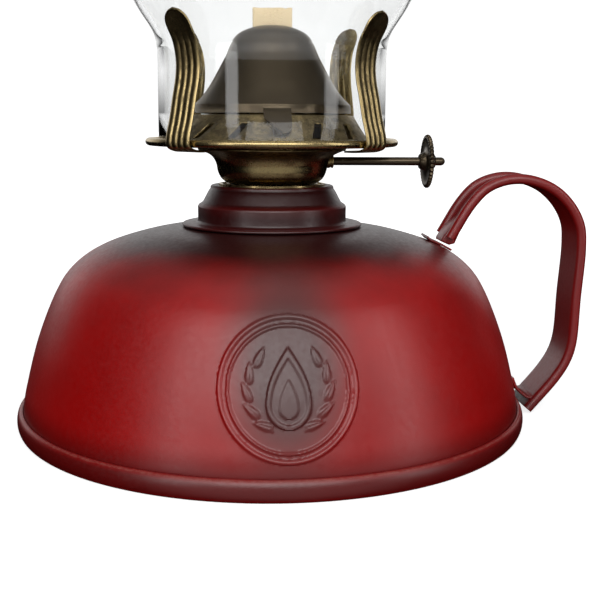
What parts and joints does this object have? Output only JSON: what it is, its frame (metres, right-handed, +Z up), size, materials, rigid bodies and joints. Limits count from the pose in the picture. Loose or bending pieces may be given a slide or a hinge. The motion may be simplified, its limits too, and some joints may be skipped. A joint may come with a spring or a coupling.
{
  "type": "oil lamp",
  "caption": "Table oil lamp: low round tank with a stepped neck and a strap handle, brass flat-wick burner with spring prongs and a flame dome, wick raiser knob, bulged glass chimney.",
  "frame": {"origin": "on the lamp's axis, in the plane of the table", "axes": "+Z up along the axis, +X towards the handle and the wick knob, -Y towards the round emblem"},
  "size_m": [0.162, 0.144, 0.2497],
  "materials": {
    "tank_paint": "satin red enamel shaded to dark burgundy at the neck, rim and edges",
    "brass": "antiqued brass, dark in the hollows",
    "dark_brass": "blackened antique brass",
    "wick_cotton": "woven cotton with a red tracer stitch",
    "clear_glass": "clear blown glass"
  },
  "bodies": {
    "tank": {"font_shell": "tank_paint", "base_pan": "tank_paint", "neck_collar": "tank_paint", "collar_socket": "brass", "handle_strap": "tank_paint", "handle_tab": "tank_paint"},
    "burner": {"burner_thread": "brass", "burner_cup": "brass", "shaft_bush": "brass", "tube_plate": "brass", "vent_tube": "brass", "wick_tube": "brass", "spur_cover": "brass", "gallery_ring": "brass", "air_cone": "brass"},
    "chimney": {"chimney": "clear_glass"},
    "dome": {"flame_dome": "dark_brass"},
    "raiser": {"raiser_shaft": "dark_brass", "spur_wheel_left": "brass", "spur_wheel_right": "brass", "raiser_knob": "dark_brass"},
    "wick": {"wick": "wick_cotton"},
    "prong_back_right": {"prong_back_right": "brass"},
    "prong_back_left": {"prong_back_left": "brass"},
    "prong_front_left": {"prong_front_left": "brass"},
    "prong_front_right": {"prong_front_right": "brass"}
  },
  "joints": [
    {"name": "burner_lift", "type": "slide", "parent": "tank", "child": "burner", "axis": [0, 0, 1], "range_m": [0, 0.066]},
    {"name": "chimney_lift", "type": "slide", "parent": "burner", "child": "chimney", "axis": [0, 0, 1], "range_m": [0, 0.05]},
    {"name": "dome_lift", "type": "slide", "parent": "burner", "child": "dome", "axis": [0, 0, 1], "range_m": [0, 0.018]},
    {"name": "knob_turn", "type": "hinge", "parent": "burner", "child": "raiser", "pos_m": [0, 0.005, 0.0729], "axis": [1, 0, 0], "range_deg": [-120, 180]},
    {"name": "wick_raise", "type": "slide", "parent": "burner", "child": "wick", "axis": [0, 0, 1], "range_m": [-0.0121, 0.0081]},
    {"name": "prong_flex_back_right", "type": "hinge", "parent": "burner", "child": "prong_back_right", "pos_m": [0.02029, 0.02029, 0.07675], "axis": [-0.7071, 0.7071, 0], "range_deg": [0, 6], "stiffness_Nm_per_rad": 0.05, "springref_deg": -2.86},
    {"name": "prong_flex_back_left", "type": "hinge", "parent": "burner", "child": "prong_back_left", "pos_m": [-0.02029, 0.02029, 0.07675], "axis": [-0.7071, -0.7071, 0], "range_deg": [0, 6], "stiffness_Nm_per_rad": 0.05, "springref_deg": -2.86},
    {"name": "prong_flex_front_left", "type": "hinge", "parent": "burner", "child": "prong_front_left", "pos_m": [-0.02029, -0.02029, 0.07675], "axis": [0.7071, -0.7071, 0], "range_deg": [0, 6], "stiffness_Nm_per_rad": 0.05, "springref_deg": -2.86},
    {"name": "prong_flex_front_right", "type": "hinge", "parent": "burner", "child": "prong_front_right", "pos_m": [0.02029, -0.02029, 0.07675], "axis": [0.7071, 0.7071, 0], "range_deg": [0, 6], "stiffness_Nm_per_rad": 0.05, "springref_deg": -2.86}
  ],
  "couplings": [
    {"joint": "wick_raise", "follows": "knob_turn", "m_per_rad": -0.0038}
  ]
}
